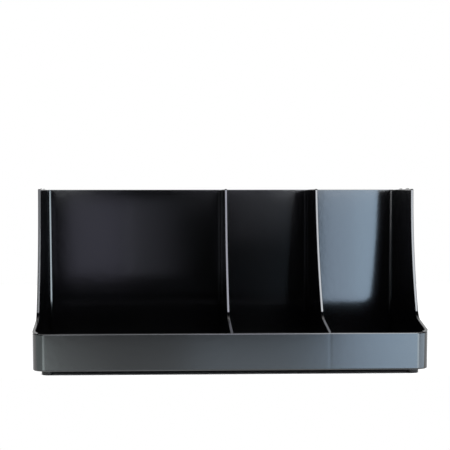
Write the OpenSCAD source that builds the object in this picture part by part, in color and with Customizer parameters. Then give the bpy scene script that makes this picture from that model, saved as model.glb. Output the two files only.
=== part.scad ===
// Bar organizer: a shallow tray on four rubber feet, with two swept side walls, a back panel
// and two dividers that slide up out of their guides.
// X runs to the right, Y from front to back and Z up; the origin lies under the middle, at the feet.

/* [Overall] */
// Height of the walls, panel and dividers above the surface it stands on
overall_h = 190.5; // [165:0.5:220]

/* [Tray] */
// Outside width of the tray
tray_w = 406; // [350:1:470]
// Outside depth of the tray
tray_d = 204; // [185:1:240]
// Height of the tray, from its underside to the top of the rim
tray_h = 37.8; // [28:0.1:48]
// Thickness of the rim
rim_t = 3; // [2.6:0.1:4]
// Thickness of the floor
floor_t = 3; // [2.4:0.1:5]
// Radius of the two front corners, seen from above
front_corner_r = 13; // [9:0.5:18]
// Radius of the two rear corners, seen from above
rear_corner_r = 5; // [4.5:0.5:8]
// Rounding of the lower outside edge
edge_r = 3; // [1:0.5:4]
// Depth of the groove in the floor that seats the back panel
seat_groove = 1; // [0.5:0.1:1.4]

/* [Side walls] */
// Thickness of the side walls
wall_t = 3; // [2.6:0.1:4]
// Outward lean of the side walls
wall_lean = 0.75; // [0:0.05:1.5]
// Width of the flange that each wall turns in behind the back panel
return_w = 12.5; // [10:0.5:25]
// Width of the toe that each wall turns in over the front corner
toe_w = 4; // [3:0.5:6]
// Thickness of the tongue under each wall, which laps the inside of the rim
lap_t = 1.5; // [1.2:0.1:1.8]
// Depth of that tongue below the top of the rim
lap_h = 6; // [4:0.5:12]
// Thickness of the lip that holds the back panel from the front
lip_t = 2; // [1.5:0.1:4]
// Overlap of that lip and the back panel
lip_hold = 2; // [1.5:0.1:5]
// Radius of the fillet in the corner of wall and lip
lip_fillet_r = 4; // [2:0.5:6]
// Length of each pip on the top edge of a wall
pip_l = 20; // [10:1:28]
// Height of each pip
pip_h = 1; // [0.5:0.1:2]
// Width of each pip
pip_w = 2; // [1:0.1:2.4]
// Distance from the front of the top edge to the middle of the first pip
pip_first = 25; // [18:1:32]
// Distance between the two pips
pip_pitch = 36; // [30:1:40]

/* [Front edge of walls and dividers] */
// Depth of the walls and dividers at the top, in front of the back panel
top_run = 102; // [85:1:115]
// Angle of the front edge from upright, at the top
top_tilt = 2.9; // [0:0.1:6]
// Radius of the long sweep of the front edge
sweep_r = 307; // [260:1:400]
// Slope of the ramp that runs down to the front of the rim
ramp_slope = 10.3; // [7:0.1:13]
// Radius of the bend between sweep and ramp
bend_r = 18; // [8:0.5:26]

/* [Back panel] */
// Thickness of the back panel
panel_t = 3; // [2.4:0.1:4]

/* [Dividers] */
// Thickness of the dividers
divider_t = 2.6; // [2:0.1:4]
// Place of the centre divider, to the right of the middle
centre_divider_x = 0; // [-40:1:30]
// Place of the right divider, to the right of the middle
right_divider_x = 100.5; // [70:0.5:140]
// Thickness of the guide ribs beside each divider
guide_t = 1.6; // [1.2:0.1:3]
// Depth of the guide ribs, from the panel or the rim
guide_d = 5; // [3:0.5:8]
// Drop of the guide ribs below the edge that they stand behind
guide_drop = 1; // [0.5:0.5:4]

/* [Feet] */
// Standing height of the feet
foot_h = 5; // [3:0.5:10]
// Diameter of a foot where it meets the tray
foot_d = 12; // [9:0.5:18]
// Diameter of the face that a foot stands on
foot_tip_d = 10.6; // [8:0.1:16]
// Diameter of the recess under the floor that a foot is bonded into
foot_seat_d = 10; // [6:0.5:12]
// Depth of that recess
foot_seat = 1; // [0.5:0.1:1.4]
// Distance from the sides of the tray to the middle of a foot
foot_inset = 15; // [10:0.5:30]

/* [Fits] */
// Clearance between a divider and what it slides past
slide_gap = 0.3; // [0.2:0.05:0.6]
// Clearance in a bonded joint
bond_gap = 0.1; // [0.05:0.05:0.2]

/* [Hidden] */
$fn = 96;
// Steps along the long sweep and around the bend of the front edge
sweep_steps = 24;
bend_steps = 12;
// Length by which a cut runs past the face that it opens
over = 1;
// Depth by which joined shapes run into each other
root = 1;

plastic = [0.03, 0.03, 0.034];
divider_plastic = [0.045, 0.045, 0.05];
rubber = [0.08, 0.08, 0.08];

front_y = -tray_d / 2;
rear_y = tray_d / 2;
side_x = tray_w / 2;
floor_z = foot_h + floor_t;
rim_z = foot_h + tray_h;

// Straight stretch of the side rims, where the walls lap them
lap_front_y = front_y + front_corner_r;
lap_rear_y = rear_y - rear_corner_r;

// Back panel, between the rear rim and the lips of the walls
panel_rear_y = rear_y - rim_t - bond_gap;
panel_front_y = panel_rear_y - panel_t;
panel_x = side_x - rear_corner_r - bond_gap;
lean_run = tan(wall_lean);
panel_top_x = panel_x + (overall_h - rim_z) * lean_run;
lip_x = panel_x - lip_hold;
lip_rear_y = panel_front_y - bond_gap;
lip_front_y = lip_rear_y - lip_t;

// Front edge, as points of Y and Z: a sweep from the top, a bend, and a ramp down to the rim
top_y = panel_front_y - top_run;
sweep_c = [top_y - sweep_r * cos(top_tilt), overall_h + sweep_r * sin(top_tilt)];
ramp_dir = [cos(ramp_slope), sin(ramp_slope)];
ramp_up = [-sin(ramp_slope), cos(ramp_slope)];
ramp_start = [front_y, rim_z];
bend_base = ramp_start + bend_r * ramp_up - sweep_c;
bend_reach = bend_base * ramp_dir;
bend_run = -bend_reach
    + sqrt(bend_reach * bend_reach - bend_base * bend_base + pow(sweep_r - bend_r, 2));
bend_c = ramp_start + bend_r * ramp_up + bend_run * ramp_dir;
bend_angle = atan2(bend_c[1] - sweep_c[1], bend_c[0] - sweep_c[0]);

// Points of an arc, after its first
function arc(centre, r, from, to, steps) = [
    for (i = [1:steps])
        let (angle = from + (to - from) * i / steps)
            centre + r * [cos(angle), sin(angle)]
];

// Outline of the tray from above, set in by a distance
module tray_outline(inset) {
    w = side_x - inset;
    d = rear_y - inset;
    rf = front_corner_r - inset;
    rr = rear_corner_r - inset;
    translate([-w, -d + rf]) square([2 * w, 2 * d - rf - rr]);
    translate([-w + rf, -d]) square([2 * (w - rf), d]);
    translate([-w + rr, 0]) square([2 * (w - rr), d]);
    for (side = [-1, 1]) {
        translate([side * (w - rf), -d + rf]) circle(rf);
        translate([side * (w - rr), d - rr]) circle(rr);
    }
}

// Upright section of the tray, from its inside at 0 out to a face, with the lower edge rounded
module edge_section(depth) {
    difference() {
        square([depth, tray_h]);
        translate([depth - edge_r, 0]) difference() {
            square(edge_r);
            translate([0, edge_r]) circle(edge_r);
        }
    }
}

// The tray's outside as one block, standing on its underside
module tray_block() {
    for (side = [0, 1]) mirror([side, 0, 0]) {
        translate([side_x - front_corner_r, lap_front_y]) rotate_extrude() edge_section(front_corner_r);
        translate([side_x - rear_corner_r, lap_rear_y]) rotate_extrude() edge_section(rear_corner_r);
        translate([0, lap_rear_y]) rotate([90, 0, 0])
            linear_extrude(lap_rear_y - lap_front_y) edge_section(side_x);
    }
    translate([side_x - front_corner_r, 0]) rotate([90, 0, -90])
        linear_extrude(tray_w - 2 * front_corner_r) edge_section(tray_d / 2);
    translate([-side_x + rear_corner_r, 0]) rotate([90, 0, 90])
        linear_extrude(tray_w - 2 * rear_corner_r) edge_section(tray_d / 2);
}

// A pair of upright guide ribs around a divider, standing out from a wall towards +Y
module guide_pair(h) {
    slot = divider_t + 2 * slide_gap;
    for (side = [0, 1]) mirror([side, 0, 0])
        translate([slot / 2, -root, 0]) cube([guide_t, guide_d + root, h]);
}

module base_tray() {
    color(plastic) {
        difference() {
            translate([0, 0, foot_h]) tray_block();
            translate([0, 0, floor_z]) linear_extrude(tray_h) tray_outline(rim_t);
            // Rebate for the tongues of the side walls
            for (side = [0, 1]) mirror([side, 0, 0])
                translate([side_x - rim_t - over, lap_front_y, rim_z - lap_h])
                    cube([lap_t + over, lap_rear_y - lap_front_y, lap_h + over]);
            // Groove for the foot of the back panel
            translate([-panel_x - bond_gap, panel_front_y - bond_gap, floor_z - seat_groove])
                cube([2 * (panel_x + bond_gap), panel_t + 2 * bond_gap, seat_groove + over]);
            // Recesses for the feet
            for (x = [-1, 1], y = [-1, 1])
                translate([x * (side_x - foot_inset), y * (rear_y - foot_inset), foot_h - over])
                    cylinder(d = foot_seat_d, h = foot_seat + over);
        }
        for (x = [centre_divider_x, right_divider_x])
            translate([x, front_y + rim_t, floor_z - root]) guide_pair(tray_h - floor_t - guide_drop + root);
    }
}

module back_panel() {
    foot_z = floor_z - seat_groove;
    color(plastic) {
        translate([0, panel_rear_y, 0]) rotate([90, 0, 0]) linear_extrude(panel_t)
            polygon([
                [-panel_x, foot_z], [panel_x, foot_z], [panel_x, rim_z], [panel_top_x, overall_h],
                [-panel_top_x, overall_h], [-panel_x, rim_z]
            ]);
        for (x = [centre_divider_x, right_divider_x])
            translate([x, panel_front_y, floor_z]) rotate([0, 0, 180])
                guide_pair(overall_h - guide_drop - floor_z);
    }
}

// A plate with the swept front edge, from front to rear and from foot to top, standing along Y
module swept_plate(t, front, rear, foot) {
    ramp_foot = [front, rim_z + (front - front_y) * tan(ramp_slope)];
    rotate([90, 0, 90]) linear_extrude(t)
        polygon(concat(
            [[front, foot], [rear, foot], [rear, overall_h], [top_y, overall_h]],
            arc(sweep_c, sweep_r, -top_tilt, bend_angle, sweep_steps),
            arc(bend_c, bend_r, bend_angle, ramp_slope - 90, bend_steps),
            [ramp_foot]
        ));
}

// Low dome on the top edge of a wall, along Y
module pip() {
    r = (pip_l * pip_l / 4 + pip_h * pip_h) / (2 * pip_h);
    rotate([90, 0, 90]) linear_extrude(pip_w)
        intersection() {
            translate([0, pip_h - r]) circle(r);
            translate([-pip_l, -root]) square([2 * pip_l, pip_h + root]);
        }
}

// The right wall before it is made to lean
module upright_wall() {
    inner_x = side_x - wall_t;
    intersection() {
        linear_extrude(overall_h + over) difference() {
            tray_outline(0);
            tray_outline(wall_t);
        }
        union() {
            translate([side_x - return_w, lap_front_y, 0]) cube([return_w, tray_d, overall_h + over]);
            translate([side_x - toe_w, front_y, 0]) cube([toe_w, front_corner_r + over, overall_h + over]);
        }
        translate([side_x - return_w, 0, 0]) swept_plate(return_w, front_y, rear_y, 0);
    }
    linear_extrude(overall_h + over) {
        translate([lip_x, lip_front_y]) square([inner_x + root - lip_x, lip_t]);
        difference() {
            translate([inner_x - lip_fillet_r, lip_front_y - lip_fillet_r]) square(lip_fillet_r + root);
            translate([inner_x - lip_fillet_r, lip_front_y - lip_fillet_r]) circle(lip_fillet_r);
        }
    }
}

// The right wall: it leans out from the outer edge of the rim, and its tongue goes inside the rim
module side_wall() {
    color(plastic) {
        intersection() {
            translate([side_x, 0, rim_z]) rotate([0, wall_lean, 0]) translate([-side_x, 0, -rim_z])
                upright_wall();
            translate([0, front_y, rim_z]) cube([tray_w, tray_d, overall_h - rim_z]);
        }
        translate([side_x - rim_t + bond_gap, lap_front_y + bond_gap, rim_z - lap_h + bond_gap])
            cube([lap_t - 2 * bond_gap, lap_rear_y - lap_front_y - 2 * bond_gap, lap_h - bond_gap + root]);
        for (i = [0, 1])
            translate([
                side_x + (overall_h - rim_z) * lean_run - (wall_t + pip_w) / 2,
                top_y + pip_first + i * pip_pitch,
                overall_h
            ])
                pip();
    }
}

module right_side_wall() {
    side_wall();
}

module left_side_wall() {
    mirror([1, 0, 0]) side_wall();
}

// A loose divider, standing in its guides just clear of the floor
module divider(x) {
    color(divider_plastic)
        translate([x - divider_t / 2, 0, 0])
            swept_plate(
                divider_t, front_y + rim_t + slide_gap, panel_front_y - slide_gap, floor_z + slide_gap
            );
}

module centre_divider() {
    divider(centre_divider_x);
}

module right_divider() {
    divider(right_divider_x);
}

// A tapered rubber foot with a plug that is bonded into the floor
module foot(x, y) {
    color(rubber)
        translate([x * (side_x - foot_inset), y * (rear_y - foot_inset), 0]) {
            cylinder(d1 = foot_tip_d, d2 = foot_d, h = foot_h);
            cylinder(d = foot_seat_d - 2 * bond_gap, h = foot_h + foot_seat - bond_gap);
        }
}

module front_left_foot() {
    foot(-1, -1);
}

module front_right_foot() {
    foot(1, -1);
}

module rear_left_foot() {
    foot(-1, 1);
}

module rear_right_foot() {
    foot(1, 1);
}

base_tray();
back_panel();
left_side_wall();
right_side_wall();
centre_divider();
right_divider();
front_left_foot();
front_right_foot();
rear_left_foot();
rear_right_foot();
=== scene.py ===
import math

import bmesh
import bpy
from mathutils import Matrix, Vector


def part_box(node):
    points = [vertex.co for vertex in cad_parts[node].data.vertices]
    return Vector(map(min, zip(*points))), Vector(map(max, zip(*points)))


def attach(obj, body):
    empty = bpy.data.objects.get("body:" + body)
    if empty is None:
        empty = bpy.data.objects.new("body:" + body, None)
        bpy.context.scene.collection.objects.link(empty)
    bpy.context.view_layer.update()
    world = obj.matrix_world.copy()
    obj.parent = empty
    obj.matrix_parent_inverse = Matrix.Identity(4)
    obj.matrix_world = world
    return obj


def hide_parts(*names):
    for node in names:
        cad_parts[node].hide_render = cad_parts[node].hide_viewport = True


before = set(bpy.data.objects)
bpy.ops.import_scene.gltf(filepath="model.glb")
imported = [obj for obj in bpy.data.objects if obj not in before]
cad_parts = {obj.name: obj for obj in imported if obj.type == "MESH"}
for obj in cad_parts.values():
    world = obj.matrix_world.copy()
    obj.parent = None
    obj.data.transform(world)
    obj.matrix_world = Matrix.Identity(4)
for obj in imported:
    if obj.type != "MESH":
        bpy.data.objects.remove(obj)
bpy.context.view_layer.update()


# Camera: it stands well back in front of the organizer, left of its middle and just below the top of
# the walls, and looks level at it, a touch to the right and not quite upright.
camera_data = bpy.data.cameras.new("photo_camera")
camera_data.lens = 100.49
camera_data.sensor_width = 36.0
camera_data.shift_x = 0.047
camera_data.shift_y = -0.0561
camera_data.clip_end = 30.0
camera = bpy.data.objects.new("photo_camera", camera_data)
camera.location = (-0.0794, -1.3763, 0.1787)
camera.rotation_euler = (math.radians(90), 0.0011, -0.04)
bpy.context.scene.collection.objects.link(camera)
bpy.context.scene.camera = camera


# Base tray: one shallow tray, injection moulded in gloss black plastic, with a level rim all round,
# a rounded lower edge and pairs of low guide ribs behind the front rim. The feet, walls and back panel are
# bonded to it.
tray_low, tray_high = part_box("base_tray")
front_y, rear_y = tray_low.y, tray_high.y
side_x, rim_z = tray_high.x, tray_high.z
rim_t = 0.003
floor_t = 0.003
floor_z = tray_low.z + floor_t
front_corner_r = 0.013
rear_corner_r = 0.005
tray_draft = 0.0005
lower_edge_r = 0.0014
rim_edge_r = 0.0012
floor_fillet_r = 0.0008
lap_t = 0.0015
lap_h = 0.006
lap_front_y = front_y + front_corner_r
lap_rear_y = rear_y - rear_corner_r
bond_gap = 0.0001
panel_t = 0.003
panel_low, panel_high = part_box("back_panel")
panel_front_y = panel_high.y - panel_t
panel_x = side_x - rear_corner_r - bond_gap
divider_t = 0.0026
divider_places = {name: sum((corner.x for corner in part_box(name)), 0.0) / 2
                  for name in ("centre_divider", "right_divider")}
slide_gap = 0.0003
guide_t = 0.0016
guide_d = 0.005
guide_drop = 0.001
guide_edge_r = 0.0004
root = 0.001
tiny = 0.00002


def open_piece(name):
    """Name the primitive just added, put its size and place into its mesh, and open it for editing."""
    piece = bpy.context.object
    piece.name = piece.data.name = name
    bpy.ops.object.transform_apply(location=True, rotation=True, scale=True)
    bpy.ops.object.mode_set(mode="EDIT")
    return piece


def add_block(name, low, high):
    """Add a block between two corners, open for editing."""
    low, high = Vector(low), Vector(high)
    bpy.ops.object.select_all(action="DESELECT")
    bpy.ops.mesh.primitive_cube_add(size=1, location=(low + high) / 2, scale=high - low)
    return open_piece(name)


def pick(kind, test):
    """Select the faces, edges or corners of the open mesh that pass a test."""
    bpy.ops.mesh.select_mode(type=kind)
    bpy.ops.mesh.select_all(action="DESELECT")
    mesh = bmesh.from_edit_mesh(bpy.context.object.data)
    mesh.normal_update()
    for part in {"FACE": mesh.faces, "EDGE": mesh.edges, "VERT": mesh.verts}[kind]:
        if test(part):
            part.select_set(True)
    bmesh.update_edit_mesh(bpy.context.object.data)


def lowest(edge):
    return min(corner.co.z for corner in edge.verts)


def highest(edge):
    return max(corner.co.z for corner in edge.verts)


def upright(edge):
    return (edge.verts[0].co - edge.verts[1].co).xy.length < tiny


def convex(edge):
    return edge.calc_face_angle_signed(0.0) > 0.7


def concave(edge):
    return edge.calc_face_angle_signed(0.0) < -0.7


def round_edges(test, radius, steps):
    """Round the edges of the open mesh that pass a test."""
    pick("EDGE", test)
    bpy.ops.mesh.bevel(offset=radius, segments=steps, affect="EDGES")


def combine(piece, tools, operation):
    """Weld helper shapes to a piece, or cut them out of it."""
    bpy.ops.object.select_all(action="DESELECT")
    for tool in tools:
        tool.select_set(True)
    bpy.context.view_layer.objects.active = tools[0]
    if len(tools) > 1:
        bpy.ops.object.join()
    bpy.ops.object.select_all(action="DESELECT")
    piece.select_set(True)
    bpy.context.view_layer.objects.active = piece
    joint = piece.modifiers.new("joint", "BOOLEAN")
    joint.operation = operation
    joint.solver = "EXACT"
    joint.object = tools[0]
    bpy.ops.object.modifier_apply(modifier=joint.name)
    bpy.data.objects.remove(tools[0], do_unlink=True)


def guide_ribs(wall_y, toward, foot_z, top_z):
    """The two guide ribs on either side of each divider, standing out from a wall."""
    ribs = []
    for place in divider_places.values():
        for side in (-1, 1):
            near = place + side * (divider_t / 2 + slide_gap)
            far = near + side * guide_t
            back, nose = wall_y - toward * root, wall_y + toward * guide_d
            rib = add_block("guide_rib", (min(near, far), min(back, nose), foot_z - root),
                            (max(near, far), max(back, nose), top_z))
            round_edges(lambda edge: all((corner.co.y - wall_y) * toward > guide_d / 2
                                         or corner.co.z > top_z - tiny for corner in edge.verts),
                        guide_edge_r, 3)
            bpy.ops.object.mode_set(mode="OBJECT")
            ribs.append(rib)
    return ribs


def smooth_faces(piece):
    """Merge doubles, point faces outwards, and shade rounded edges smooth and flat faces flat."""
    bpy.ops.object.select_all(action="DESELECT")
    piece.select_set(True)
    bpy.context.view_layer.objects.active = piece
    bpy.ops.object.mode_set(mode="EDIT")
    bpy.ops.mesh.select_all(action="SELECT")
    bpy.ops.mesh.remove_doubles(threshold=0.000002)
    bpy.ops.mesh.normals_make_consistent(inside=False)
    bpy.ops.object.mode_set(mode="OBJECT")
    bpy.ops.object.shade_smooth_by_angle(angle=math.radians(35))
    flats = piece.modifiers.new("flats", "WEIGHTED_NORMAL")
    flats.keep_sharp = True
    bpy.ops.object.modifier_apply(modifier=flats.name)


tray = add_block("base_tray_moulding", tray_low, tray_high)
round_edges(lambda edge: upright(edge) and edge.verts[0].co.y < 0, front_corner_r, 12)
round_edges(lambda edge: upright(edge) and edge.verts[0].co.y > rear_y - tiny, rear_corner_r, 8)
pick("VERT", lambda corner: corner.co.z < tray_low.z + tiny)
bpy.ops.transform.resize(value=(1 - tray_draft / side_x, 1 - tray_draft / rear_y, 1),
                         center_override=(0, 0, 0))
pick("FACE", lambda face: face.normal.z > 0.9)
bpy.ops.mesh.inset(thickness=rim_t, use_even_offset=True)
bpy.ops.mesh.extrude_region_move(TRANSFORM_OT_translate={"value": (0, 0, floor_z - rim_z)})
round_edges(lambda edge: highest(edge) < tray_low.z + tiny, lower_edge_r, 6)
round_edges(lambda edge: lowest(edge) > rim_z - tiny and convex(edge), rim_edge_r, 4)
round_edges(lambda edge: abs(lowest(edge) - floor_z) < tiny and concave(edge), floor_fillet_r, 3)
bpy.ops.object.mode_set(mode="OBJECT")

foot_names = ("front_left_foot", "front_right_foot", "rear_left_foot", "rear_right_foot")
foot_seat_r = 0.005
foot_seat = 0.001
cuts = []
for side in (-1, 1):
    inner, outer = side * (side_x - rim_t - root), side * (side_x - rim_t + lap_t)
    cuts.append(add_block("rebate", (min(inner, outer), lap_front_y, rim_z - lap_h),
                          (max(inner, outer), lap_rear_y, rim_z + root)))
    bpy.ops.object.mode_set(mode="OBJECT")
cuts.append(add_block("panel_groove", (-panel_x - bond_gap, panel_front_y - bond_gap, panel_low.z),
                      (panel_x + bond_gap, panel_high.y + bond_gap, floor_z + root)))
bpy.ops.object.mode_set(mode="OBJECT")
for name in foot_names:
    middle = (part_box(name)[0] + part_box(name)[1]) / 2
    bpy.ops.object.select_all(action="DESELECT")
    bpy.ops.mesh.primitive_cylinder_add(vertices=48, radius=foot_seat_r, depth=2 * foot_seat,
                                        location=(middle.x, middle.y, tray_low.z))
    cuts.append(open_piece("foot_recess"))
    bpy.ops.object.mode_set(mode="OBJECT")
combine(tray, cuts, "DIFFERENCE")
combine(tray, guide_ribs(front_y + rim_t, 1, floor_z, rim_z - guide_drop), "UNION")

# Faint sink lines down the outside of the front rim, where the guide ribs stand behind it
sink_depth = 0.00003
sink_half = 0.003
bpy.ops.object.mode_set(mode="EDIT")
for place in divider_places.values():
    for share in (-1.0, -0.5, 0.0, 0.5, 1.0):
        bpy.ops.mesh.select_all(action="SELECT")
        bpy.ops.mesh.bisect(plane_co=(place + share * sink_half, 0, 0), plane_no=(1, 0, 0))
    for share in (-0.5, 0.0, 0.5):
        pick("VERT", lambda corner: abs(corner.co.x - place - share * sink_half) < tiny
             and corner.co.y < front_y + 0.001 and corner.co.z < rim_z - rim_edge_r / 2)
        bpy.ops.transform.translate(value=(0, sink_depth * (1 - abs(share)), 0))
bpy.ops.object.mode_set(mode="OBJECT")
smooth_faces(tray)


def node(tree, kind, **settings):
    """Add a shader node, with its settings and the values of its sockets."""
    made = tree.nodes.new(kind)
    for key, value in settings.items():
        if key in made.inputs:
            made.inputs[key].default_value = value
        else:
            setattr(made, key, value)
    return made


def tone_ramp(tree, source, stops):
    """A colour ramp from (place, colour) stops, driven by a value."""
    ramp = tree.nodes.new("ShaderNodeValToRGB")
    ramp.color_ramp.elements[0].position, ramp.color_ramp.elements[0].color = stops[0]
    ramp.color_ramp.elements[1].position, ramp.color_ramp.elements[1].color = stops[-1]
    for place, colour in stops[1:-1]:
        ramp.color_ramp.elements.new(place).color = colour
    tree.links.new(source, ramp.inputs["Fac"])
    return ramp.outputs["Color"]


def moulded_black(name, deep, pale, gloss, dull):
    """Gloss black moulded plastic: cloudy tone, flow streaks, fine scuffs, and edges rubbed a little dull."""
    material = bpy.data.materials.new(name)
    material.use_nodes = True
    tree = material.node_tree
    link = tree.links.new
    shader = tree.nodes["Principled BSDF"]
    shader.inputs["IOR"].default_value = 1.59
    shader.inputs["Specular IOR Level"].default_value = 0.65
    place = tree.nodes.new("ShaderNodeTexCoord").outputs["Object"]

    cloud = node(tree, "ShaderNodeTexNoise", Scale=16.0, Detail=5.0, Roughness=0.6)
    link(place, cloud.inputs["Vector"])
    tone = tone_ramp(tree, cloud.outputs["Fac"], [(0.3, (*deep, 1)), (0.7, (*pale, 1))])

    # Edges: where a rounded normal turns away from the face's own normal
    rounded = node(tree, "ShaderNodeBevel", samples=6, Radius=0.0012)
    surface = tree.nodes.new("ShaderNodeNewGeometry")
    turn = node(tree, "ShaderNodeVectorMath", operation="DOT_PRODUCT")
    link(rounded.outputs["Normal"], turn.inputs[0])
    link(surface.outputs["True Normal"], turn.inputs[1])
    edge = node(tree, "ShaderNodeMapRange",
                **{"From Min": 0.97, "From Max": 0.8, "To Min": 0.0, "To Max": 1.0})
    link(turn.outputs["Value"], edge.inputs["Value"])
    rub = node(tree, "ShaderNodeTexNoise", Scale=90.0, Detail=4.0)
    link(place, rub.inputs["Vector"])
    patchy = node(tree, "ShaderNodeMath", operation="MULTIPLY")
    link(edge.outputs["Result"], patchy.inputs[0])
    link(rub.outputs["Fac"], patchy.inputs[1])
    worn = node(tree, "ShaderNodeMix", data_type="RGBA")
    worn.inputs["B"].default_value = (pale[0] * 2.2, pale[1] * 2.2, pale[2] * 2.2, 1)
    link(patchy.outputs["Value"], worn.inputs["Factor"])
    link(tone, worn.inputs["A"])
    link(worn.outputs["Result"], shader.inputs["Base Color"])

    # Gloss: slow streaks from the flow of the moulding, and fine scuffs across it
    flow = node(tree, "ShaderNodeMapping", Scale=(4.0, 4.0, 6.0))
    link(place, flow.inputs["Vector"])
    streak = node(tree, "ShaderNodeTexNoise", Scale=4.0, Detail=3.0)
    link(flow.outputs["Vector"], streak.inputs["Vector"])
    scuff = node(tree, "ShaderNodeTexNoise", Scale=420.0, Detail=3.0, Roughness=0.7)
    link(place, scuff.inputs["Vector"])
    haze = node(tree, "ShaderNodeMath", operation="MULTIPLY_ADD")
    haze.inputs[1].default_value = 0.35
    link(scuff.outputs["Fac"], haze.inputs[0])
    link(streak.outputs["Fac"], haze.inputs[2])
    sheen = node(tree, "ShaderNodeMapRange",
                 **{"From Min": 0.4, "From Max": 0.95, "To Min": gloss, "To Max": dull})
    link(haze.outputs["Value"], sheen.inputs["Value"])
    rougher = node(tree, "ShaderNodeMath", operation="MULTIPLY_ADD")
    rougher.inputs[1].default_value = 0.08
    link(patchy.outputs["Value"], rougher.inputs[0])
    link(sheen.outputs["Result"], rougher.inputs[2])
    link(rougher.outputs["Value"], shader.inputs["Roughness"])

    # Surface: the faint unevenness of a polished mould
    peel = node(tree, "ShaderNodeTexNoise", Scale=150.0, Detail=2.0)
    link(place, peel.inputs["Vector"])
    relief = node(tree, "ShaderNodeBump", Strength=0.05, Distance=0.0004)
    link(peel.outputs["Fac"], relief.inputs["Height"])
    link(relief.outputs["Normal"], shader.inputs["Normal"])
    return material


deep_black = (0.0008, 0.0008, 0.0009)
pale_black = (0.0014, 0.0014, 0.0015)
tray_plastic = moulded_black("tray_gloss_black", deep_black, pale_black, 0.14, 0.16)
tray.data.materials.append(tray_plastic)
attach(tray, "organizer")
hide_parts("base_tray")


# Feet: four tapered bumpers of soft black rubber, each with a shallow cup in its tip and a plug that
# is glued into a recess under a corner of the tray.
foot_low, foot_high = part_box(foot_names[0])
foot_r = (foot_high.x - foot_low.x) / 2
foot_tip_r = 0.0053
foot_plug_r = foot_seat_r - bond_gap
foot_cup_rim = 0.0017
foot_cup_depth = 0.0006
foot_cup_taper = 0.86
foot_tip_edge_r = 0.0005
foot_top_edge_r = 0.0003
rubber_deep = (0.008, 0.008, 0.008, 1)
rubber_pale = (0.017, 0.017, 0.016, 1)
foot_middle = (foot_low + foot_high) / 2

bpy.ops.object.select_all(action="DESELECT")
bpy.ops.mesh.primitive_cone_add(vertices=64, radius1=foot_tip_r, radius2=foot_r, depth=tray_low.z,
                                location=(foot_middle.x, foot_middle.y, tray_low.z / 2))
first_foot = open_piece(foot_names[0] + "_bumper")
pick("FACE", lambda face: face.normal.z > 0.9)
bpy.ops.mesh.inset(thickness=foot_r - foot_plug_r)
bpy.ops.mesh.extrude_region_move(TRANSFORM_OT_translate={"value": (0, 0, foot_high.z - tray_low.z)})
pick("FACE", lambda face: face.normal.z < -0.9)
bpy.ops.mesh.inset(thickness=foot_cup_rim)
bpy.ops.mesh.extrude_region_move(TRANSFORM_OT_translate={"value": (0, 0, foot_cup_depth)})
bpy.ops.transform.resize(value=(foot_cup_taper, foot_cup_taper, 1),
                         center_override=(foot_middle.x, foot_middle.y, 0))
round_edges(lambda edge: highest(edge) < tiny and convex(edge), foot_tip_edge_r, 4)
round_edges(lambda edge: abs(lowest(edge) - tray_low.z) < tiny and convex(edge), foot_top_edge_r, 3)
bpy.ops.object.mode_set(mode="OBJECT")

bumper_rubber = bpy.data.materials.new("bumper_rubber")
bumper_rubber.use_nodes = True
rubber_tree = bumper_rubber.node_tree
rubber_shader = rubber_tree.nodes["Principled BSDF"]
rubber_place = rubber_tree.nodes.new("ShaderNodeTexCoord").outputs["Object"]
bloom = node(rubber_tree, "ShaderNodeTexNoise", Scale=260.0, Detail=5.0, Roughness=0.65)
rubber_tree.links.new(rubber_place, bloom.inputs["Vector"])
rubber_tone = tone_ramp(rubber_tree, bloom.outputs["Fac"], [(0.3, rubber_deep), (0.72, rubber_pale)])
rubber_tree.links.new(rubber_tone, rubber_shader.inputs["Base Color"])
rubber_matt = node(rubber_tree, "ShaderNodeMapRange",
                   **{"From Min": 0.3, "From Max": 0.7, "To Min": 0.55, "To Max": 0.75})
rubber_tree.links.new(bloom.outputs["Fac"], rubber_matt.inputs["Value"])
rubber_tree.links.new(rubber_matt.outputs["Result"], rubber_shader.inputs["Roughness"])
rubber_grain = node(rubber_tree, "ShaderNodeTexNoise", Scale=1500.0, Detail=3.0)
rubber_tree.links.new(rubber_place, rubber_grain.inputs["Vector"])
rubber_relief = node(rubber_tree, "ShaderNodeBump", Strength=0.25, Distance=0.0002)
rubber_tree.links.new(rubber_grain.outputs["Fac"], rubber_relief.inputs["Height"])
rubber_tree.links.new(rubber_relief.outputs["Normal"], rubber_shader.inputs["Normal"])
first_foot.data.materials.append(bumper_rubber)

feet = [first_foot]
for name in foot_names[1:]:
    bpy.ops.object.select_all(action="DESELECT")
    first_foot.select_set(True)
    bpy.context.view_layer.objects.active = first_foot
    bpy.ops.object.duplicate(linked=False)
    copy = bpy.context.object
    copy.name = copy.data.name = name + "_bumper"
    bpy.ops.object.mode_set(mode="EDIT")
    bpy.ops.mesh.select_all(action="SELECT")
    bpy.ops.transform.translate(value=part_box(name)[0] - foot_low)
    bpy.ops.object.mode_set(mode="OBJECT")
    feet.append(copy)
for name, foot in zip(foot_names, feet):
    smooth_faces(foot)
    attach(foot, "organizer")
    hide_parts(name)


# Side walls: two moulded walls, flush with the rim outside, with a front edge that sweeps down and runs
# out along the rim in a long low ramp. Each turns in behind the back panel, holds it in front with a
# slanted lip, and is bonded to the inside of the rim by a tongue.
top_z = panel_high.z
top_run = 0.102
top_y = panel_front_y - top_run
wall_t = 0.003
wall_lean = math.tan(math.radians(0.75))
wall_edge_r = 0.0005
wall_taper = 0.0010
corner_edge_r = 0.002
return_w = 0.0125
toe_turn = 55
lip_hold = 0.0010
lip_x = panel_x - lip_hold
lip_nose_t = 0.0011
lip_wall_t = 0.00195
lip_edge_r = 0.0005
tongue_edge_r = 0.0002
pip_half = (0.001, 0.010, 0.001)
pip_places = (top_y + 0.025, top_y + 0.061)
right_wall_splay = 0.0012

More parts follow.
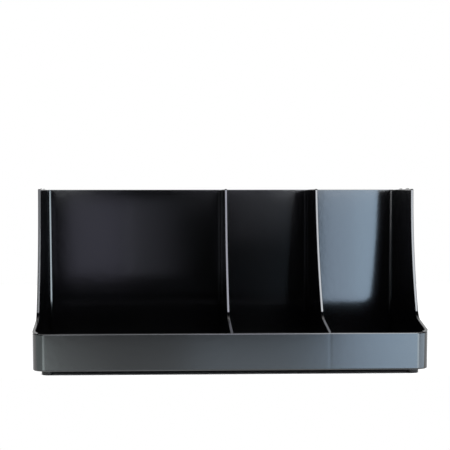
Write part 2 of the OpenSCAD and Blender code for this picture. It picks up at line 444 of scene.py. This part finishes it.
# Front edge, as Y and Z: a ramp up from the rim, a bend, and a long sweep that ends nearly upright
top_tilt = math.radians(2.9)
ramp_slope = math.radians(10.3)
sweep_r = 0.307
bend_r = 0.018
sweep_middle = Vector((top_y - sweep_r * math.cos(top_tilt), top_z + sweep_r * math.sin(top_tilt)))
ramp_along = Vector((math.cos(ramp_slope), math.sin(ramp_slope)))
ramp_up = Vector((-math.sin(ramp_slope), math.cos(ramp_slope)))
bend_base = Vector((front_y, rim_z)) + bend_r * ramp_up - sweep_middle
bend_reach = bend_base.dot(ramp_along)
bend_run = -bend_reach + math.sqrt(bend_reach ** 2 - bend_base.length_squared + (sweep_r - bend_r) ** 2)
bend_middle = sweep_middle + bend_base + bend_run * ramp_along
bend_angle = math.atan2(bend_middle.y - sweep_middle.y, bend_middle.x - sweep_middle.x)


def ramp_z(y):
    return rim_z + (y - front_y) * math.tan(ramp_slope)


def arc(middle, radius, start, end, steps):
    """Points along an arc, from its start up to its end."""
    angles = [start + (end - start) * step / steps for step in range(steps + 1)]
    return [middle + radius * Vector((math.cos(angle), math.sin(angle))) for angle in angles]


def swept_plate(name, x, thickness, front, rear, foot):
    """A plate along Y with the swept front edge, from a grid whose front corners go onto that edge."""
    edge = [Vector((front, foot)), Vector((front, ramp_z(front)))]
    edge += arc(bend_middle, bend_r, ramp_slope - math.pi / 2, bend_angle, 14)
    edge += arc(sweep_middle, sweep_r, bend_angle, -top_tilt, 40)[1:]
    bpy.ops.object.select_all(action="DESELECT")
    bpy.ops.mesh.primitive_grid_add(x_subdivisions=1, y_subdivisions=len(edge) - 1, size=0.2,
                                    location=(x, 0, (foot + top_z) / 2))
    plate = open_piece(name)
    mesh = bmesh.from_edit_mesh(plate.data)
    mesh.verts.ensure_lookup_table()
    for row, point in enumerate(edge):
        mesh.verts[2 * row].co = (x - thickness / 2, point.x, point.y)
        mesh.verts[2 * row + 1].co = (x - thickness / 2, rear, point.y)
    bmesh.update_edit_mesh(plate.data)
    bpy.ops.mesh.select_all(action="SELECT")
    bpy.ops.mesh.extrude_region_move(TRANSFORM_OT_translate={"value": (thickness, 0, 0)})
    bpy.ops.mesh.select_all(action="SELECT")
    bpy.ops.mesh.normals_make_consistent(inside=False)
    round_edges(lambda edge: highest(edge) - lowest(edge) < tiny and lowest(edge) > top_z - tiny
                and all(abs(corner.co.y - top_y) < tiny for corner in edge.verts), corner_edge_r, 6)
    return plate


def swing(middle, degrees, steps):
    """Run the selected faces out around an upright axis."""
    for step in range(steps):
        bpy.ops.mesh.extrude_region_move()
        bpy.ops.transform.rotate(value=-math.radians(degrees) / steps, orient_axis="Z",
                                 center_override=(*middle, 0))


right_wall = swept_plate("right_side_wall_moulding", side_x - wall_t / 2, wall_t,
                         lap_front_y, lap_rear_y, rim_z)
pick("FACE", lambda face: face.normal.y < -0.9 and highest(face) < ramp_z(lap_front_y) + tiny)
swing((side_x - front_corner_r, lap_front_y), -toe_turn, 8)
mesh = bmesh.from_edit_mesh(right_wall.data)
for corner in mesh.verts:
    if corner.co.y < lap_front_y - tiny and corner.co.z > rim_z + tiny:
        corner.co.z = ramp_z(corner.co.y)
bmesh.update_edit_mesh(right_wall.data)
pick("FACE", lambda face: face.normal.y > 0.9 and lowest(face) > rim_z - tiny
     and all(corner.co.y > lap_rear_y - tiny for corner in face.verts))
swing((side_x - rear_corner_r, lap_rear_y), 90, 8)
bpy.ops.mesh.extrude_region_move(TRANSFORM_OT_translate={"value": (rear_corner_r - return_w, 0, 0)})
round_edges(lambda edge: convex(edge) and lowest(edge) > rim_z + tiny
            and all(corner.co.y > lap_front_y - tiny for corner in edge.verts), wall_edge_r, 4)
bpy.ops.object.mode_set(mode="OBJECT")

lip = add_block("lip", (lip_x, panel_front_y - bond_gap - lip_wall_t, rim_z),
                (side_x - wall_t + root, panel_front_y - bond_gap, top_z))
pick("VERT", lambda corner: corner.co.x < lip_x + tiny and corner.co.y < panel_front_y - 0.001)
bpy.ops.transform.translate(value=(0, lip_wall_t - lip_nose_t, 0))
round_edges(lambda edge: upright(edge) and edge.verts[0].co.x < lip_x + tiny
            and edge.verts[0].co.y < panel_front_y - bond_gap - tiny, lip_edge_r, 4)
bpy.ops.object.mode_set(mode="OBJECT")
tongue = add_block("tongue", (side_x - rim_t + bond_gap, lap_front_y + bond_gap, rim_z - lap_h + bond_gap),
                   (side_x - rim_t + lap_t - bond_gap, lap_rear_y - bond_gap, rim_z + root))
round_edges(lambda edge: highest(edge) < rim_z, tongue_edge_r, 2)
bpy.ops.object.mode_set(mode="OBJECT")
pips = []
for pip_y in pip_places:
    bpy.ops.object.select_all(action="DESELECT")
    bpy.ops.mesh.primitive_uv_sphere_add(segments=24, ring_count=12, radius=1, scale=pip_half,
                                         location=(side_x - wall_t / 2, pip_y, top_z))
    pips.append(open_piece("pip"))
    bpy.ops.object.mode_set(mode="OBJECT")
for additions in ([lip], [tongue], pips):
    combine(right_wall, additions, "UNION")
for corner in right_wall.data.vertices:
    inside = abs(corner.co.x - side_x + wall_t) < tiny and corner.co.z > rim_z - tiny
    if inside and top_y < corner.co.y < lap_rear_y + tiny:
        corner.co.x -= wall_taper * (corner.co.y - top_y) / (lap_rear_y - top_y)
    corner.co.x += max(0.0, corner.co.z - rim_z) * wall_lean

bpy.ops.object.select_all(action="DESELECT")
right_wall.select_set(True)
bpy.context.view_layer.objects.active = right_wall
bpy.ops.object.duplicate(linked=False)
left_wall = bpy.context.object
left_wall.name = left_wall.data.name = "left_side_wall_moulding"
bpy.ops.object.mode_set(mode="EDIT")
bpy.ops.mesh.select_all(action="SELECT")
bpy.ops.transform.resize(value=(-1, 1, 1), center_override=(0, 0, 0))
bpy.ops.object.mode_set(mode="OBJECT")
for corner in right_wall.data.vertices:
    rise = max(0.0, (corner.co.z - rim_z) / (top_z - rim_z))
    reach = max(0.0, (panel_front_y - corner.co.y) / (panel_front_y - top_y))
    corner.co.x += right_wall_splay * rise * reach
wall_plastic = moulded_black("wall_gloss_black", deep_black, pale_black, 0.075, 0.09)
for wall, name in ((left_wall, "left_side_wall"), (right_wall, "right_side_wall")):
    smooth_faces(wall)
    wall.data.materials.append(wall_plastic)
    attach(wall, "organizer")
    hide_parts(name)


# Back panel: one flat moulded sheet, wider at the top because the walls lean out, which stands in a
# groove in the floor between the rear rim and the lips, with a pair of guide ribs for each divider.
panel_top_x = panel_x + (top_z - rim_z) * wall_lean
panel_edge_r = 0.0006
panel = add_block("back_panel_sheet", (-panel_x, panel_front_y, panel_low.z), (panel_x, panel_high.y, top_z))
bpy.ops.mesh.select_all(action="SELECT")
bpy.ops.mesh.bisect(plane_co=(0, 0, rim_z), plane_no=(0, 0, 1))
pick("VERT", lambda corner: corner.co.z > top_z - tiny)
bpy.ops.transform.resize(value=(panel_top_x / panel_x, 1, 1), center_override=(0, 0, 0))
round_edges(convex, panel_edge_r, 4)
bpy.ops.object.mode_set(mode="OBJECT")
combine(panel, guide_ribs(panel_front_y, -1, floor_z + root, top_z - guide_drop), "UNION")
smooth_faces(panel)
panel_plastic = moulded_black("panel_gloss_black", deep_black, pale_black, 0.09, 0.105)
panel.data.materials.append(panel_plastic)
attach(panel, "organizer")
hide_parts("back_panel")


# Dividers: two loose moulded plates with the same swept front edge, which drop into the guide ribs and
# lift straight out. Their free front corners have warped sideways a little, as thin mouldings do.
divider_edge_r = 0.0004
divider_foot_z = floor_z + slide_gap
divider_front_y = front_y + rim_t + slide_gap
divider_rear_y = panel_front_y - slide_gap
warp = {"centre_divider": -0.0004, "right_divider": -0.0016}
divider_plastic = moulded_black("divider_gloss_black", deep_black, pale_black, 0.075, 0.09)

centre_divider = swept_plate("centre_divider_plate", 0.0, divider_t,
                             divider_front_y, divider_rear_y, divider_foot_z)
round_edges(convex, divider_edge_r, 4)
bpy.ops.object.mode_set(mode="OBJECT")
bpy.ops.object.duplicate(linked=False)
right_divider = bpy.context.object
right_divider.name = right_divider.data.name = "right_divider_plate"
for divider, name in ((centre_divider, "centre_divider"), (right_divider, "right_divider")):
    for corner in divider.data.vertices:
        rise = max(0.0, (corner.co.z - rim_z) / (top_z - rim_z))
        reach = (divider_rear_y - corner.co.y) / (divider_rear_y - top_y)
        corner.co.x += divider_places[name] + warp[name] * rise * reach
    smooth_faces(divider)
    divider.data.materials.append(divider_plastic)
    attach(divider, name)
    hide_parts(name)


# Table: the plain white table top that the organizer stands on, with its front edge just ahead of the rim,
# so that the rim mirrors the studio and not the table. It glows white to the camera and in gloss, and under
# the organizer that glow is faded out by an occlusion mask: a painted contact shadow, not a cast one.
table_half_x = 1.2
table_front_y = -0.105
table_rear_y = 1.25
table_corner_r = 0.05
bpy.ops.object.select_all(action="DESELECT")
bpy.ops.mesh.primitive_plane_add(size=2 * table_half_x, location=(0, table_front_y + table_half_x, 0))
table = open_piece("table_top")
bpy.ops.transform.resize(value=(1, (table_rear_y - table_front_y) / (2 * table_half_x), 1),
                         center_override=(0, table_front_y, 0))
bpy.ops.mesh.bevel(offset=table_corner_r, segments=8, affect="VERTICES")
bpy.ops.object.mode_set(mode="OBJECT")
table_white = bpy.data.materials.new("table_white")
table_white.use_nodes = True
table_tree = table_white.node_tree
table_shader = table_tree.nodes["Principled BSDF"]
table_shader.inputs["Base Color"].default_value = (0.3, 0.3, 0.3, 1)
table_shader.inputs["Roughness"].default_value = 0.9
table_shader.inputs["Specular IOR Level"].default_value = 0.1
table_path = table_tree.nodes.new("ShaderNodeLightPath")
# Painted contact shadow: the white emission fades out where ambient occlusion finds the organizer close
# above, so the dark under the organizer is painted into the table's glow.
cover = node(table_tree, "ShaderNodeAmbientOcclusion", samples=64, Distance=0.06)
seen = node(table_tree, "ShaderNodeMath", operation="MAXIMUM")
table_tree.links.new(table_path.outputs["Is Camera Ray"], seen.inputs[0])
table_tree.links.new(table_path.outputs["Is Glossy Ray"], seen.inputs[1])
seen_all = node(table_tree, "ShaderNodeMath", operation="MAXIMUM")
table_tree.links.new(seen.outputs["Value"], seen_all.inputs[0])
table_tree.links.new(table_path.outputs["Is Transmission Ray"], seen_all.inputs[1])
painted_shadow_fade = node(table_tree, "ShaderNodeMapRange", interpolation_type="SMOOTHSTEP",
                **{"From Min": 0.06, "From Max": 0.12, "To Min": 0.0, "To Max": 1.0})
table_tree.links.new(cover.outputs["AO"], painted_shadow_fade.inputs["Value"])
glow_under_painted_shadow = node(table_tree, "ShaderNodeMath", operation="MULTIPLY")
table_tree.links.new(seen_all.outputs["Value"], glow_under_painted_shadow.inputs[0])
table_tree.links.new(painted_shadow_fade.outputs["Result"], glow_under_painted_shadow.inputs[1])
table_shader.inputs["Emission Color"].default_value = (1, 1, 1, 1)
table_tree.links.new(glow_under_painted_shadow.outputs["Value"], table_shader.inputs["Emission Strength"])
table.data.materials.append(table_white)


# Studio: softboxes and cards stand in front, where the gloss black faces mirror them: tall cool boxes on the
# right, boxes that lean overhead, faint cards on the left, low and side cards for the rim, and a pale floor
# below the table's edge. The backdrop behind is white and the rest of the room is dark.
far_y = -1.6
near_y = -0.404
head_y, head_z = -0.95, 1.65
near_card_z = 0.12
near_card_size = (0.0173, 0.12)
low_card_z = -0.32
low_card_h = 0.34
side_card_size = (1.5, 0.8)


def softbox(name, place, aim, size, radiance, colour):
    """A rectangular softbox of an even brightness, turned to face a point."""
    data = bpy.data.lights.new(name, "AREA")
    data.shape = "RECTANGLE"
    data.size, data.size_y = size
    data.energy = radiance * math.pi * size[0] * size[1]
    data.color = colour
    lamp = bpy.data.objects.new(name, data)
    lamp.location = place
    lamp.rotation_euler = (Vector(aim) - Vector(place)).to_track_quat("-Z", "Y").to_euler()
    lamp.visible_camera = False
    bpy.context.scene.collection.objects.link(lamp)


def facing_softbox(name, x, y, z, size, radiance, colour):
    """A softbox in front of the organizer that faces straight back."""
    softbox(name, (x, y, z), (x, 0.0, z), size, radiance, colour)


def leaning_softbox(name, x, width, foot_z, radiance, colour):
    """A tall softbox that leans from its foot in front of the organizer towards its head above it."""
    foot, head = Vector((x, far_y, foot_z)), Vector((x, head_y, head_z))
    along = head - foot
    softbox(name, (foot + head) / 2, (foot + head) / 2 + Vector((0, along.z, -along.y)),
            (width, along.length), radiance, colour)


facing_softbox("right_softbox", 0.79, far_y, -0.055, (0.42, 0.57), 6.5, (0.78, 0.91, 1.0))
facing_softbox("right_soft_middle", 0.505, far_y, -0.055, (0.15, 0.57), 5.4, (0.58, 0.78, 1.0))
facing_softbox("right_soft_edge", 0.3825, far_y, -0.055, (0.095, 0.57), 4.3, (0.60, 0.78, 1.0))
leaning_softbox("top_right_softbox", 0.425, 0.35, 0.23, 8.5, (0.90, 0.94, 1.0))
leaning_softbox("top_middle_softbox", 0.135, 0.23, 0.26, 5.5, (0.85, 0.86, 1.0))
leaning_softbox("top_high_softbox", -0.145, 0.33, 0.75, 3.9, (0.90, 0.94, 1.0))
leaning_softbox("top_left_softbox", -0.335, 0.17, 0.215, 2.5, (0.90, 0.94, 1.0))
leaning_softbox("left_strip_softbox", -0.53, 0.14, 0.10, 3.7, (0.95, 0.97, 1.0))
facing_softbox("left_strip_card", -0.53, far_y, 0.0, (0.14, 0.2), 0.92, (0.95, 0.97, 1.0))
facing_softbox("middle_card", 0.18, far_y, 0.15, (0.14, 0.14), 0.15, (0.85, 0.86, 1.0))
facing_softbox("left_card", -0.203, -1.124, 0.1, (0.122, 0.17), 0.66, (0.76, 0.76, 1.0))
near_cards = ((-0.1254, 0.39), (-0.1081, 0.33), (-0.0908, 0.28),
              (-0.0735, 0.21), (-0.0562, 0.12), (-0.0389, 0.04))
for number, (left_x, radiance) in enumerate(near_cards):
    facing_softbox("near_card_%d" % number, left_x + near_card_size[0] / 2, near_y, near_card_z,
                   near_card_size, radiance, (0.80, 0.82, 1.0))
low_cards = ((-1.70, -0.90, 1.1, (0.88, 1.0, 1.0)), (-0.90, -0.34, 3.5, (0.88, 1.0, 1.0)),
             (-0.34, -0.20, 0.96, (0.92, 0.97, 1.0)), (-0.20, 0.0, 0.68, (0.92, 0.97, 1.0)),
             (0.0, 0.27, 1.5, (0.76, 0.88, 1.0)), (0.27, 0.335, 2.1, (0.65, 0.82, 1.0)),
             (1.0, 1.70, 3.5, (0.72, 0.86, 1.0)))
for number, (left_x, right_x, radiance, colour) in enumerate(low_cards):
    facing_softbox("low_card_%d" % number, (left_x + right_x) / 2, far_y, low_card_z,
                   (right_x - left_x, low_card_h), radiance, colour)
softbox("right_side_card", (1.7, -0.85, -0.1), (0.0, -0.85, -0.1), side_card_size, 3.5, (0.72, 0.86, 1.0))
softbox("left_side_card", (-1.7, -0.85, -0.1), (0.0, -0.85, -0.1), side_card_size, 1.1, (0.88, 1.0, 1.0))
softbox("studio_floor", (0.0, -2.6, -1.0), (0.0, -2.6, 1.0), (8.0, 4.4), 0.8, (0.88, 0.94, 1.0))

room = bpy.data.worlds.new("studio_room")
room.use_nodes = True
bpy.context.scene.world = room
room_tree = room.node_tree
room_light = room_tree.nodes["Background"]
room_path = room_tree.nodes.new("ShaderNodeLightPath")
direction = room_tree.nodes.new("ShaderNodeTexCoord")
split = room_tree.nodes.new("ShaderNodeSeparateXYZ")
room_tree.links.new(direction.outputs["Generated"], split.inputs["Vector"])
behind = node(room_tree, "ShaderNodeMapRange", interpolation_type="SMOOTHSTEP",
              **{"From Min": -0.1, "From Max": 0.5, "To Min": 0.0, "To Max": 1.0})
room_tree.links.new(split.outputs["Y"], behind.inputs["Value"])
mirrored = node(room_tree, "ShaderNodeMath", operation="MAXIMUM")
room_tree.links.new(room_path.outputs["Is Glossy Ray"], mirrored.inputs[0])
room_tree.links.new(room_path.outputs["Is Transmission Ray"], mirrored.inputs[1])
bright = node(room_tree, "ShaderNodeMapRange", **{"To Min": 0.6, "To Max": 1.0})
room_tree.links.new(mirrored.outputs["Value"], bright.inputs["Value"])
backdrop = node(room_tree, "ShaderNodeMath", operation="MULTIPLY")
room_tree.links.new(behind.outputs["Result"], backdrop.inputs[0])
room_tree.links.new(bright.outputs["Result"], backdrop.inputs[1])
white_out = node(room_tree, "ShaderNodeMath", operation="MAXIMUM")
room_tree.links.new(backdrop.outputs["Value"], white_out.inputs[0])
room_tree.links.new(room_path.outputs["Is Camera Ray"], white_out.inputs[1])
room_light.inputs["Color"].default_value = (1, 1, 1, 1)
room_tree.links.new(white_out.outputs["Value"], room_light.inputs["Strength"])

bpy.context.scene.view_settings.view_transform = "Standard"
